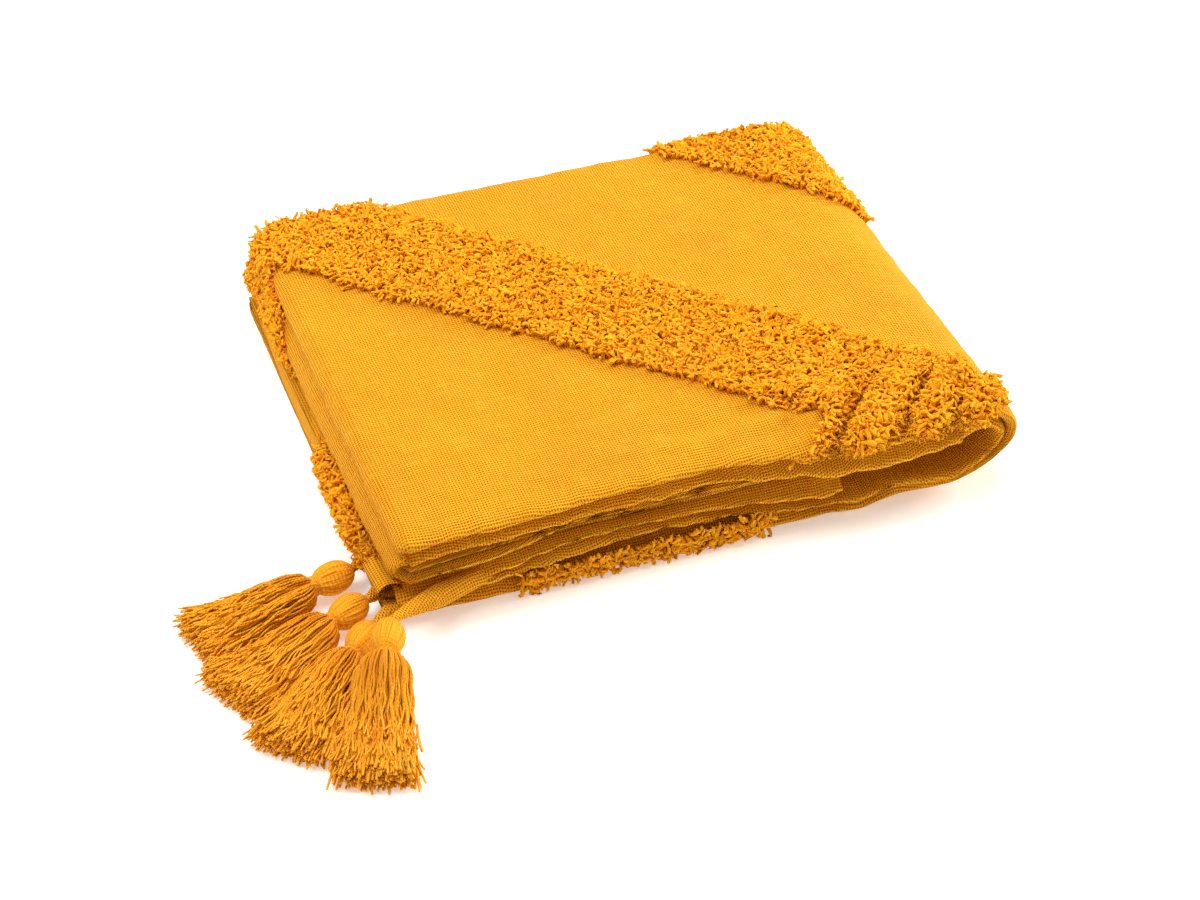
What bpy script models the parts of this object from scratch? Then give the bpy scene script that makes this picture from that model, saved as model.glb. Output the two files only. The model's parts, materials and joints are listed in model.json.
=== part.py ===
"""Folded cotton throw with tufted diagonal bands and four corner tassels.

Metres, +Z up, +X to the right along the long side, +Y to the back.  The origin is
the middle of the underside, on the floor.  The throw is folded four by four, and
its last fold is the round end at +X: the upper leaf opens there like a book.
"""
import math

import bmesh
import bpy
from mathutils import Vector

# ---------------------------------------------------------------- folded stack
LENGTH = 0.385            # left end of the upper leaf to the round end
DEPTH = 0.320             # front edge to back edge
TOP_LAYER = 0.0102        # the outer wrap where it lies on top
SECOND_LAYER = 0.0077     # the wrap under it, on top and at the bottom
INNER_ROLL = 0.0080       # each half of the innermost folds
GAP = 0.0003              # between layers that lie on each other
PILE = 0.0076             # how far the cut pile stands off the cloth

LOOP_LENGTH = 0.1125      # round end's tip to the innermost folds; hollow between
LEFT_STEP = 0.0015        # each upper fold's left end lies this much further in
LOWER_LEFT_OUT = 0.0005   # how far the lower leaf's open edges pass the upper ones
FRONT_STEP = 0.0030       # how far the innermost folds lie behind the front edge
BOTTOM_SET_BACK = 0.0100  # how far the bottom layer's front edge lies further back
FOLD_ROUND = 0.0060       # depth of a rounded fold edge
CORNER_ROUND = 0.0100     # plan radius at a fold's corners

# ---------------------------------------------------------------- tufted bands
BAND_PAST_CORNER = 0.0825   # diagonal band's far edge past the back left corner, in x
BAND_BEFORE_CORNER = 0.0295 # its near edge before that corner
CORNER_BAND_REACH = 0.1125  # the back right corner to that band's edge, in x
CORNER_BAND_START = 0.0140  # its sharp tip is blunted by this much
PILE_EDGE = 0.0030        # rounding of a pile band's long edges
SIDE_EDGE = 0.0012        # the same where the pile stands on an edge of the stack
SIDE_INSET = 0.0018
PILE_LOW_ANGLE = 42.0     # the pile follows the round end down to this angle
DROP_SPREAD = 0.0430      # in front the band fans out this far to the left
DROP_PAST_LOOP = 0.0100   # and passes the start of the round end by this much
BACK_DROP = (0.0165, 0.0825)     # from the left end, where it turns down at the back
DROP_Z = (0.0175, 0.0030)        # below and above the top face
LEFT_UPPER = (0.0120, 0.1180)    # from the back: pile on the upper leaf's left folds
LEFT_UPPER_Z = (0.0250, -0.0010) # below and above the top face
LEFT_LOWER = (0.0640, 0.1380)    # from the front: pile on the lower leaf's left edges
LEFT_LOWER_Z = (0.0040, 0.0320)
BOTTOM_FRONT_X = (-0.117, 0.052)     # the underside's band where it meets the front
BOTTOM_FRONT_TOP = 0.0150

# ---------------------------------------------------------------- tassels
HEAD_RADIUS = 0.0100
HEAD_HALF_LENGTH = 0.0115
HEAD_CENTRE = 0.0125      # cord pivot to the middle of the head
CORD_RADIUS = 0.0013
NECK_RADIUS = 0.0055
BINDING_WALL = 0.0013
BINDING_WIDTH = 0.0040
SKIRT_LENGTH = 0.0800
# half width and half height of the skirt at shares of its length
SKIRT_WIDTHS = ((0.0, 0.0062), (0.14, 0.0105), (0.45, 0.0130), (0.8, 0.0148),
                (1.0, 0.0155))
SKIRT_HEIGHTS = ((0.0, 0.0062), (0.14, 0.0092), (0.45, 0.0096), (0.8, 0.0078),
                 (1.0, 0.0052))
SKIRT_SETTLED = 0.62       # share of its length at which the skirt lies on the floor
NUB_RADIUS = 0.0034        # the cloth corner that a tassel hangs from
NUB_TO_PIVOT = 0.0022      # the cloth corner's tip to the cord's pivot
# size of the cloth corner at shares of its length
NUB_SHAPE = ((0.0, 1.05), (0.55, 1.15), (0.85, 1.0), (0.96, 0.7), (1.0, 0.35))

# from the stack's front left corner: cord pivot (x, y), how far its head is held up,
# direction of the skirt in degrees from +X, and where the cloth corner that it hangs
# from starts inside its layer (x, y)
TASSELS = {
    "tassel_1": ((-0.0080, 0.0480), 0.0, 194.0, (0.0120, 0.0540)),
    "tassel_2": ((-0.0082, 0.0215), 0.0, 207.0, (0.0120, 0.0310)),
    "tassel_3": ((-0.0090, 0.0), 0.0, 226.0, (0.0140, 0.0180)),
    "tassel_4": ((-0.0040, -0.0155), 0.0145, 248.0, (0.0100, 0.0060)),
}
HEAD_CLEARANCE = 0.0005    # a lying head to the floor

# ---------------------------------------------------------------- derived sizes
HALF = LENGTH / 2
FRONT = -DEPTH / 2
BACK = DEPTH / 2
LOOP = INNER_ROLL + GAP                     # inner radius of the hollow loop
LOOP_X = HALF - TOP_LAYER - GAP - SECOND_LAYER - LOOP
UPPER_LEAF = LOOP + SECOND_LAYER + GAP + TOP_LAYER
# the upper leaf, opened right over, lies on the floor with its pile
LEAF_SPLIT = UPPER_LEAF + GAP + PILE + 0.0001
TOP = LEAF_SPLIT + UPPER_LEAF
BOTTOM_TOP = LEAF_SPLIT - LOOP - SECOND_LAYER - GAP    # the bottom layer's upper face
INNER_ROLL_END = HALF - LOOP_LENGTH
HINGE = Vector((HALF, 0.0, LEAF_SPLIT))
BAND_UPPER = BACK - HALF + BAND_PAST_CORNER            # x + y along each band's edges
BAND_LOWER = BACK - HALF - BAND_BEFORE_CORNER
CORNER_BAND = BACK + HALF - CORNER_BAND_REACH
LEFT = -HALF + FOLD_ROUND - 0.0005          # tip of the top layer's left fold
LOW_LEFT = -HALF + LOWER_LEFT_OUT
PILE_INSET = FOLD_ROUND * 0.7               # a top band's ends, in from the stack's edge

# ---------------------------------------------------------------- fineness
TIP_ANGLE = 77.0          # a round end stops at this angle, in a small flat
ROUND_STEPS = 4
EDGE_STEPS = 4
WRAP_STEPS = 8
HEAD_STEPS = 8
BAND_STEPS = 12
SHOULDER_STEPS = 5
SKIRT_STEPS = 9


def clear_scene():
    for item in list(bpy.data.objects):
        bpy.data.objects.remove(item, do_unlink=True)


def cotton(name, roughness, shade=1.0):
    """A mustard cotton, one material for each sub-part."""
    made = bpy.data.materials.new(name)
    made.use_nodes = True
    surface = made.node_tree.nodes["Principled BSDF"]
    colour = (0.855 * shade, 0.370 * shade, 0.020 * shade, 1.0)
    surface.inputs["Base Color"].default_value = colour
    surface.inputs["Roughness"].default_value = roughness
    surface.inputs["Metallic"].default_value = 0.0
    made.diffuse_color = colour
    return made


def empty(name, location, turn=0.0):
    holder = bpy.data.objects.new(name, None)
    holder.empty_display_size = 0.02
    holder.location = location
    holder.rotation_euler = (0.0, 0.0, turn)
    bpy.context.scene.collection.objects.link(holder)
    return holder


def link(name, shape, material, parent=None, origin=(0.0, 0.0, 0.0)):
    """Put a finished bmesh on the scene, written about origin, its parent's place."""
    bmesh.ops.translate(shape, verts=shape.verts, vec=-Vector(origin))
    bmesh.ops.recalc_face_normals(shape, faces=shape.faces)
    if shape.calc_volume(signed=True) < 0:
        bmesh.ops.reverse_faces(shape, faces=shape.faces)
    mesh = bpy.data.meshes.new(name)
    shape.to_mesh(mesh)
    shape.free()
    mesh.shade_smooth()
    mesh.set_sharp_from_angle(angle=math.radians(50.0))
    mesh.materials.append(material)
    made = bpy.data.objects.new(name, mesh)
    bpy.context.scene.collection.objects.link(made)
    made.parent = parent
    return made


def loft(rings):
    """A closed body bridged through rings that have the same point count."""
    shape = bmesh.new()
    loops = []
    for ring in rings:
        corners = [shape.verts.new(point) for point in ring]
        edges = [shape.edges.new((corners[i - 1], corners[i]))
                 for i in range(len(corners))]
        loops.append((corners, edges))
    for near, far in zip(loops, loops[1:]):
        count = len(near[0])
        for side in range(count):
            after = (side + 1) % count
            shape.faces.new((near[0][side], near[0][after], far[0][after], far[0][side]))
    bmesh.ops.edgeloop_fill(shape, edges=loops[0][1])
    bmesh.ops.edgeloop_fill(shape, edges=loops[-1][1])
    return shape


def turned(profile, closed, steps=14):
    """A body turned about the X axis from a profile of (x, radius) points."""
    shape = bmesh.new()
    corners = [shape.verts.new((x, 0.0, radius)) for x, radius in profile]
    edges = [shape.edges.new(pair) for pair in zip(corners, corners[1:])]
    if closed:
        edges.append(shape.edges.new((corners[-1], corners[0])))
    bmesh.ops.spin(shape, geom=corners + edges, cent=(0.0, 0.0, 0.0),
                   axis=(1.0, 0.0, 0.0), angle=math.tau, steps=steps,
                   use_merge=True, use_duplicate=False)
    bmesh.ops.remove_doubles(shape, verts=shape.verts, dist=0.00001)
    if not closed:
        rims = [edge for edge in shape.edges if edge.is_boundary]
        bmesh.ops.holes_fill(shape, edges=rims, sides=steps)
    return shape


def pad_ring(inner, outer, front, back, depth):
    """The section of a pad: from its inner to its outer face, rounded front and back."""
    middle = Vector(((inner[0] + outer[0]) / 2, (inner[1] + outer[1]) / 2))
    half = Vector(((outer[0] - inner[0]) / 2, (outer[1] - inner[1]) / 2))
    ring = []
    for edge, sign in ((back, 1.0), (front, -1.0)):
        for step in range(EDGE_STEPS + 1):
            angle = math.radians(TIP_ANGLE) * (2.0 * step / EDGE_STEPS - 1.0) * sign
            place = middle + half * math.sin(angle) / math.sin(math.radians(TIP_ANGLE))
            y = edge - sign * depth * (1.0 - math.cos(angle))
            ring.append((place.x, y, place.y))
    return ring


def pad(name, stations, material, depth, parent=None, origin=(0.0, 0.0, 0.0)):
    """A soft layer through stations of inner point, outer point, front and back."""
    rings = [pad_ring(*station, depth) for station in stations]
    return link(name, loft(rings), material, parent, origin)


def rounded_end(x, near, far, front, back, outward):
    """Stations of a fold's round end, from its tip inwards; outward is -1 or +1.

    near and far are the heights of the layer's two faces, the loop's side first.
    """
    middle = (near + far) / 2
    half = (far - near) / 2
    stations = []
    for step in range(ROUND_STEPS + 1):
        angle = math.radians(TIP_ANGLE) * (1.0 - step / ROUND_STEPS)
        place = x - outward * FOLD_ROUND * (1.0 - math.sin(angle))
        thin = half * math.cos(angle)
        inset = CORNER_ROUND * (1.0 - math.cos(angle))
        stations.append(((place, middle - thin), (place, middle + thin),
                         front + inset, back - inset))
    return stations


def wrap_end(inner_radius, outer_radius, outer_drop, front, back, sign):
    """Stations of a layer round the hollow loop, from level to the leaf split."""
    stations = []
    last = math.asin(GAP / 2 / inner_radius)
    for step in range(WRAP_STEPS + 1):
        angle = math.pi / 2 + (last - math.pi / 2) * step / WRAP_STEPS
        inner = (LOOP_X + inner_radius * math.cos(angle),
                 LEAF_SPLIT + sign * inner_radius * math.sin(angle))
        rise = max(outer_drop * math.sin(angle), GAP / 2)
        outer = (LOOP_X + outer_radius * math.cos(angle), LEAF_SPLIT + sign * rise)
        stations.append((inner, outer, front, back))
    return stations


def layer(name, left, inner_radius, outer_radius, outer_drop, sign, front, back,
          material, parent=None, origin=(0.0, 0.0, 0.0)):
    """One wrap of two sheets: a level part that ends in the round end at +X."""
    near = LEAF_SPLIT + sign * inner_radius
    far = LEAF_SPLIT + sign * outer_drop
    stations = rounded_end(left, near, far, front, back, -1.0)
    stations += wrap_end(inner_radius, outer_radius, outer_drop, front, back, sign)
    return pad(name, stations, material, FOLD_ROUND, parent, origin)


def roll(name, left, near, far, material, parent=None, origin=(0.0, 0.0, 0.0)):
    """One half of the innermost folds: round at both ends, front and back."""
    front = FRONT + FRONT_STEP
    back = BACK - FRONT_STEP
    stations = rounded_end(left, near, far, front, back, -1.0)
    stations += reversed(rounded_end(INNER_ROLL_END, near, far, front, back, 1.0))
    return pad(name, stations, material, FOLD_ROUND, parent, origin)


def top_band(name, x_from, front_of, back_of, material, parent):
    """Pile on the top face, from x_from over the shoulder of the round end."""
    base = TOP + GAP
    stations = []
    for step in range(BAND_STEPS + 1):
        x = x_from + (LOOP_X - x_from) * step / BAND_STEPS
        if back_of(x) - front_of(x) < 2 * PILE_EDGE:
            break
        stations.append(((x, base), (x, base + PILE), front_of(x), back_of(x)))
    inner = base - LEAF_SPLIT
    outer = inner + PILE
    turn = math.radians(90.0 - PILE_LOW_ANGLE)
    for step in range(1, SHOULDER_STEPS + 1):
        angle = turn * step / SHOULDER_STEPS
        along = LOOP_X + inner * angle
        if back_of(along) - front_of(along) < 2 * PILE_EDGE:
            break
        low = (LOOP_X + inner * math.sin(angle), LEAF_SPLIT + inner * math.cos(angle))
        high = (LOOP_X + outer * math.sin(angle), LEAF_SPLIT + outer * math.cos(angle))
        stations.append((low, high, front_of(along), back_of(along)))
    return pad(name, stations, material, PILE_EDGE, parent, HINGE)


def side_band(name, across, along, upright, material, parent=None,
              origin=(0.0, 0.0, 0.0)):
    """Pile on an edge of the stack: a block, given by its extents in x, y and z."""
    reach = min(PILE_EDGE, (across[1] - across[0]) / 3)
    stations = []
    for x, inset in ((across[0], SIDE_INSET), (across[0] + reach, 0.0),
                     (across[1] - reach, 0.0), (across[1], SIDE_INSET)):
        stations.append(((x, upright[0] + inset), (x, upright[1] - inset),
                         along[0] + inset, along[1] - inset))
    return pad(name, stations, material, SIDE_EDGE, parent, origin)


def add_corner(cloth, tip, root, radius):
    """Join the cloth corner that a tassel hangs from to its layer."""
    along = (tip - root).normalized()
    side = along.cross(Vector((0.0, 0.0, 1.0))).normalized()
    lift = side.cross(along)
    reach = (tip - root).length
    rings = []
    for place, size in NUB_SHAPE:
        centre = root + along * reach * place
        ring = []
        for step in range(10):
            angle = math.tau * step / 10
            spread = side * math.cos(angle) + lift * math.sin(angle)
            ring.append(centre + spread * radius * size)
        rings.append(ring)
    nub = link(cloth.name + "_corner", loft(rings), cloth.data.materials[0])
    nub.hide_render = True
    nub.display_type = "WIRE"
    join = cloth.modifiers.new("corner", "BOOLEAN")
    join.operation = "UNION"
    join.solver = "EXACT"
    join.object = nub


def ring_section(x, half_width, low, high, count=14):
    """An oval section of a tassel, across its own length."""
    middle = (low + high) / 2
    half = (high - low) / 2
    ring = []
    for step in range(count):
        angle = math.tau * step / count
        ring.append((x, half_width * math.cos(angle), middle + half * math.sin(angle)))
    return ring


def skirt_section(share, pivot_height):
    """Half width, half height and centre height of the skirt at a share of its length."""
    half_width = between(SKIRT_WIDTHS, share)
    half_height = between(SKIRT_HEIGHTS, share)
    settle = min(1.0, share / SKIRT_SETTLED)
    settle = settle * settle * (3.0 - 2.0 * settle)
    lying = half_height + GAP - pivot_height
    return half_width, half_height, lying * settle


def between(table, place):
    """Straight-line reading of a small table."""
    for (x0, y0), (x1, y1) in zip(table, table[1:]):
        if place <= x1:
            return y0 + (y1 - y0) * (place - x0) / (x1 - x0)
    return table[-1][1]


def tassel(name, pivot, direction, material_of):
    """Cord, head, neck binding and skirt, written about the cord's pivot."""
    holder = empty(name + "_pivot", pivot, math.radians(direction))
    binding_start = HEAD_CENTRE + HEAD_HALF_LENGTH + GAP
    binding_end = binding_start + BINDING_WIDTH
    skirt_start = binding_end + GAP

    cord_end = HEAD_CENTRE - HEAD_HALF_LENGTH - GAP
    profile = [(-0.0016, CORD_RADIUS * 0.55), (-0.0010, CORD_RADIUS),
               (cord_end, CORD_RADIUS)]
    link(name + "_hanging_cord", turned(profile, False, 10), material_of("cord"), holder)

    profile = []
    for step in range(HEAD_STEPS + 1):
        angle = math.radians(TIP_ANGLE) * (2.0 * step / HEAD_STEPS - 1.0)
        along = math.sin(angle) / math.sin(math.radians(TIP_ANGLE))
        x = HEAD_CENTRE + HEAD_HALF_LENGTH * along
        radius = HEAD_RADIUS * math.cos(angle)
        if x < HEAD_CENTRE or radius > NECK_RADIUS:
            profile.append((x, radius))
    profile.append((binding_start - GAP, NECK_RADIUS))
    profile.append((binding_end, NECK_RADIUS))
    link(name + "_head", turned(profile, False), material_of("head"), holder)

    inside = NECK_RADIUS + GAP
    outside = inside + BINDING_WALL
    profile = [(binding_start, inside), (binding_start, outside),
               (binding_end, outside), (binding_end, inside)]
    link(name + "_neck_binding", turned(profile, True), material_of("binding"), holder)

    rings = []
    for step in range(SKIRT_STEPS + 1):
        share = step / SKIRT_STEPS
        half_width, half_height, centre = skirt_section(share, pivot[2])
        x = skirt_start + SKIRT_LENGTH * share
        rings.append(ring_section(x, half_width, centre - half_height,
                                  centre + half_height))
    link(name + "_skirt", loft(rings), material_of("skirt"), holder)


def add_cloth(upper):
    """The folded cloth: four wraps and the two halves of the innermost folds."""
    second_outside = LOOP + SECOND_LAYER
    outer_inside = second_outside + GAP
    outer_outside = outer_inside + TOP_LAYER
    layer("cloth_top_layer", LEFT, outer_inside, outer_outside, outer_outside, 1.0,
          FRONT, BACK, cotton("cotton_top_layer", 0.85), upper, HINGE)
    layer("cloth_second_layer", LEFT + LEFT_STEP, LOOP, second_outside,
          second_outside, 1.0, FRONT, BACK, cotton("cotton_second_layer", 0.85),
          upper, HINGE)
    roll("cloth_inner_roll_upper", LEFT + 2 * LEFT_STEP, LEAF_SPLIT + GAP / 2,
         LEAF_SPLIT + INNER_ROLL, cotton("cotton_inner_roll_upper", 0.85), upper, HINGE)
    roll("cloth_inner_roll_lower", LEFT + LEFT_STEP, LEAF_SPLIT - GAP / 2,
         LEAF_SPLIT - INNER_ROLL, cotton("cotton_inner_roll_lower", 0.85))
    fourth = layer("cloth_fourth_layer", LOW_LEFT, LOOP, second_outside,
                   second_outside, -1.0, FRONT, BACK,
                   cotton("cotton_fourth_layer", 0.85))
    bottom = layer("cloth_bottom_layer", LOW_LEFT, outer_inside, outer_outside,
                   LEAF_SPLIT, -1.0, FRONT + BOTTOM_SET_BACK, BACK - GAP,
                   cotton("cotton_bottom_layer", 0.85))
    return fourth, bottom


def add_pile(upper):
    """The bands of cut pile, on top and where they turn over the stack's edges."""
    top_band("pile_diagonal_band", LEFT + PILE_INSET,
             lambda x: max(FRONT + PILE_INSET, BAND_LOWER - x),
             lambda x: min(BACK - PILE_INSET, BAND_UPPER - x),
             cotton("pile_diagonal_band", 0.95), upper)
    top_band("pile_back_corner", CORNER_BAND - BACK + CORNER_BAND_START,
             lambda x: max(FRONT + PILE_INSET, CORNER_BAND - x),
             lambda x: BACK - PILE_INSET,
             cotton("pile_back_corner", 0.95), upper)
    drop_to = min(BAND_UPPER - FRONT, LOOP_X + DROP_PAST_LOOP)
    drop_z = (TOP - DROP_Z[0], TOP + DROP_Z[1])
    side_band("pile_front_drop", (BAND_LOWER - FRONT - DROP_SPREAD, drop_to),
              (FRONT - GAP - PILE, FRONT - GAP), drop_z,
              cotton("pile_front_drop", 0.95), upper, HINGE)
    side_band("pile_back_drop", (LEFT + BACK_DROP[0], LEFT + BACK_DROP[1]),
              (BACK + GAP, BACK + GAP + PILE), drop_z,
              cotton("pile_back_drop", 0.95), upper, HINGE)
    side_band("pile_left_upper", (LEFT - GAP - PILE, LEFT - GAP),
              (BACK - LEFT_UPPER[1], BACK - LEFT_UPPER[0]),
              (TOP - LEFT_UPPER_Z[0], TOP - LEFT_UPPER_Z[1]),
              cotton("pile_left_upper", 0.95), upper, HINGE)
    side_band("pile_left_lower", (LOW_LEFT - GAP - PILE, LOW_LEFT - GAP),
              (FRONT + LEFT_LOWER[0], FRONT + LEFT_LOWER[1]), LEFT_LOWER_Z,
              cotton("pile_left_lower", 0.95))
    meets = FRONT + BOTTOM_SET_BACK - GAP
    side_band("pile_bottom_front", BOTTOM_FRONT_X, (meets - PILE, meets),
              (0.0, BOTTOM_FRONT_TOP), cotton("pile_bottom_front", 0.95))


def add_tassels(fourth, bottom):
    """A tassel on each corner of the cloth; the last one hangs a layer higher."""
    for name, (place, raised, direction, root) in TASSELS.items():
        turn = math.radians(direction)
        outward = Vector((math.cos(turn), math.sin(turn), 0.0))
        height = HEAD_RADIUS + HEAD_CLEARANCE + raised
        pivot = Vector((LOW_LEFT + place[0], FRONT + place[1], height))
        if raised:
            cloth = fourth
            root_height = BOTTOM_TOP + GAP + SECOND_LAYER / 2
        else:
            cloth = bottom
            root_height = BOTTOM_TOP / 2
        start = Vector((LOW_LEFT + root[0], FRONT + root[1], root_height))
        add_corner(cloth, pivot - outward * NUB_TO_PIVOT, start, NUB_RADIUS)
        tassel(name, pivot, direction,
               lambda piece, name=name: cotton(name + "_" + piece + "_yarn", 0.90))


def main():
    clear_scene()
    upper = empty("upper_leaf_hinge", HINGE)
    fourth, bottom = add_cloth(upper)
    add_pile(upper)
    add_tassels(fourth, bottom)


main()
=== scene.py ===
import json
from math import cos, pi, radians, sin, sqrt, tau

import bmesh
import bpy
import numpy as np
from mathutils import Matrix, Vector

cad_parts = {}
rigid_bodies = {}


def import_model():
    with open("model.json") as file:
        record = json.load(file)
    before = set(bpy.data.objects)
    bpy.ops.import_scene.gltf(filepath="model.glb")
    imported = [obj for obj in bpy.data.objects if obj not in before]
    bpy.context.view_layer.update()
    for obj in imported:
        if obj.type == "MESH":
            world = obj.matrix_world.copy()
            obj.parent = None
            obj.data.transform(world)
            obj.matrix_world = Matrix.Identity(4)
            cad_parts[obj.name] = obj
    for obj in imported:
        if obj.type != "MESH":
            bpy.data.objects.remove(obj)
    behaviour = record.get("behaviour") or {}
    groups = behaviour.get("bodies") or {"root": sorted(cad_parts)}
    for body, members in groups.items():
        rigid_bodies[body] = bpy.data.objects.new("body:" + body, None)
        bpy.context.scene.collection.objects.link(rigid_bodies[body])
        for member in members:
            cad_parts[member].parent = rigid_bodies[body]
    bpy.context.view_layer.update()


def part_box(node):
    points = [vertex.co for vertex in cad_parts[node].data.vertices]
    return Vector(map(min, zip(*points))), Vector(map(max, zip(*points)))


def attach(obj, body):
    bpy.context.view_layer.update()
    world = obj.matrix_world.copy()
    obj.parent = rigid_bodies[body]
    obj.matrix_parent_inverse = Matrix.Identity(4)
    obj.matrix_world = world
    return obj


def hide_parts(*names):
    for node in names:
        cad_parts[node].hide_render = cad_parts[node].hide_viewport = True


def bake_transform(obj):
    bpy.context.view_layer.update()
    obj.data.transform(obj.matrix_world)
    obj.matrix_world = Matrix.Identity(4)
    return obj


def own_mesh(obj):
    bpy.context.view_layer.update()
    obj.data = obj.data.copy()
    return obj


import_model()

# Folded throw blanket: loose-woven cotton ground, cut-pile bands and four corner tassels.
# Metres, in the row frame: front edge at -Y, the closed fold at +X, resting on z = 0.

MM = 0.001
CLOTH = 1.9 * MM             # thickness of one sheet of the woven ground
GRID = 4.0 * MM              # spacing of the visible cloth's mesh
WEAVE = 1.68 * MM            # one thread of the weave
YARN = 1.85 * MM             # pile yarn, across
SEAM = 0.150                 # where the leaves' cloth meets the cloth of the closed fold
LEFT_TURN = -0.176           # centre of the closed turn at the left of the upper leaf
INNER_END = 0.080            # right end of the inner roll
LOWER_START = -0.191         # left end of the lower leaf's cloth
ROLL_START = -0.1855         # left end of the inner roll's lower half
BACK = 0.158                 # where the folds end at the back
ON_FLOOR = 0.96 * MM         # middle of a sheet that lies on the floor
BAND = (-0.062, 0.050)       # limits of x + y on the diagonal band of pile
CORNER_FROM = 0.240          # and where x + y reaches the pile on the back corner


# ---- camera, floor and light ----

def placed(name, data):
    """A new object with this data, put in the scene."""
    ob = bpy.data.objects.new(name, data)
    bpy.context.collection.objects.link(ob)
    return ob


def set_camera():
    aim = Vector((-0.0295, -0.0482, 0.0))
    turn, rise, distance = radians(-20.1), radians(39.2), 1.549
    away = Vector((sin(turn) * cos(rise), -cos(turn) * cos(rise), sin(rise)))
    lens = bpy.data.cameras.new("camera")
    lens.lens, lens.sensor_width = 78.0, 36.0
    lens.clip_start, lens.clip_end = 0.05, 30.0
    camera = placed("camera", lens)
    camera.location = aim + away * distance
    camera.rotation_euler = (-away).to_track_quat("-Z", "Y").to_euler()
    bpy.context.scene.camera = camera


def soft_light(name, place, aim, size, power):
    data = bpy.data.lights.new(name, "AREA")
    data.shape, data.size, data.energy = "DISK", size, power
    lamp = placed(name, data)
    lamp.location = place
    lamp.rotation_euler = (Vector(aim) - Vector(place)).to_track_quat("-Z", "Y").to_euler()


def light_room():
    soft_light("key", (-1.1, 0.45, 1.8), (0, 0, 0), 1.1, 26.0)
    soft_light("overhead", (0.25, 0.35, 2.3), (0, 0, 0), 1.8, 30.0)
    soft_light("right fill", (1.7, 0.05, 0.6), (0.12, 0, 0.03), 0.9, 30.0)
    bpy.context.scene.view_settings.view_transform = "Standard"
    world = bpy.data.worlds.new("studio")
    bpy.context.scene.world = world
    world.use_nodes = True
    background = world.node_tree.nodes["Background"]
    background.inputs["Color"].default_value = (1, 0.78, 0.50, 1)
    background.inputs["Strength"].default_value = 0.46


def lay_floor():
    mesh = bpy.data.meshes.new("floor")
    mesh.from_pydata([(-6, -6, 0), (6, -6, 0), (6, 6, 0), (-6, 6, 0)], [], [(0, 1, 2, 3)])
    floor = placed("floor", mesh)
    floor.location.z = -0.0002
    paper = Finish("floor_paper", Roughness=0.9, Base_Color=(0.93, 0.93, 0.93, 1),
                   Emission_Color=(1, 1, 1, 1), Emission_Strength=0.32)
    mesh.materials.append(paper.material)


# ---- finishes ----

class Thread:
    """One value running through a tree of nodes; arithmetic on it adds the Math nodes."""

    def __init__(self, tree, socket):
        self.tree, self.socket = tree, socket

    def by(self, operation, *others):
        values = dict(enumerate((self,) + others))
        return self.tree.make("ShaderNodeMath", {"operation": operation}, values)

    def _swapped(self, operation, other):
        return self.tree.make("ShaderNodeMath", {"operation": operation}, {0: other, 1: self})

    def __add__(self, other): return self.by("ADD", other)
    def __sub__(self, other): return self.by("SUBTRACT", other)
    def __mul__(self, other): return self.by("MULTIPLY", other)
    def __truediv__(self, other): return self.by("DIVIDE", other)
    def __radd__(self, other): return self._swapped("ADD", other)
    def __rsub__(self, other): return self._swapped("SUBTRACT", other)
    def __rmul__(self, other): return self._swapped("MULTIPLY", other)
    def __rtruediv__(self, other): return self._swapped("DIVIDE", other)


class Tree:
    """Nodes made by short calls: a node's type, its settings, and its sockets' values."""

    def make(self, kind, settings=None, values=None, out=0):
        node = self.tree.nodes.new(kind)
        for key, value in (settings or {}).items():
            setattr(node, key, value)
        for key, value in (values or {}).items():
            self.give(node.inputs[key], value)
        return Thread(self, node.outputs[out])

    def give(self, socket, value):
        if isinstance(value, Thread):
            self.tree.links.new(value.socket, socket)
        else:
            socket.default_value = value

    def noise(self, place, scale, detail=2.0, rough=0.5, out=0):
        return self.make("ShaderNodeTexNoise", {"noise_dimensions": "3D"},
                         {"Vector": place, "Scale": scale, "Detail": detail, "Roughness": rough},
                         out)

    def vector(self, operation, a, b, slots=(0, 1)):
        return self.make("ShaderNodeVectorMath", {"operation": operation},
                         {slots[0]: a, slots[1]: b})


class Finish(Tree):
    """A material being built round one Principled shader."""

    def __init__(self, name, **constants):
        self.material = bpy.data.materials.new(name)
        self.material.use_nodes = True
        self.tree = self.material.node_tree
        self.shader = self.tree.nodes["Principled BSDF"]
        for socket, value in constants.items():
            self.shader.inputs[socket.replace("_", " ")].default_value = value

    def drive(self, **threads):
        for socket, value in threads.items():
            self.give(self.shader.inputs[socket.replace("_", " ")], value)

    def blend(self, share, first, second):
        return self.make("ShaderNodeMix", {"data_type": "RGBA"},
                         {0: share, 6: first, 7: second}, 2)

    def mark(self, name):
        """A number that the mesh carries at each point."""
        return self.make("ShaderNodeAttribute", {"attribute_name": name}, out=2)

    def relief(self, height, strength, depth):
        return self.make("ShaderNodeBump", None,
                         {"Height": height, "Strength": strength, "Distance": depth})


# cloth colours: painted shade between the threads, the thread from deep to bright, its thick slubs
PORE_SHADE = (0.48, 0.085, 0.001, 1)
DEEP, BRIGHT = (0.90, 0.400, 0.005, 1), (0.98, 0.520, 0.010, 1)
SLUB = (1.0, 0.60, 0.026, 1)
# yarn colours: painted shade at the root and in the twist's grooves, the middle, the cut end
PILE_COLOURS = (0.88, 0.26, 0.003, 1), (0.97, 0.405, 0.008, 1), (1.0, 0.545, 0.020, 1)
TASSEL_COLOURS = (0.72, 0.20, 0.003, 1), (0.97, 0.415, 0.010, 1), (1.0, 0.54, 0.045, 1)


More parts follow.
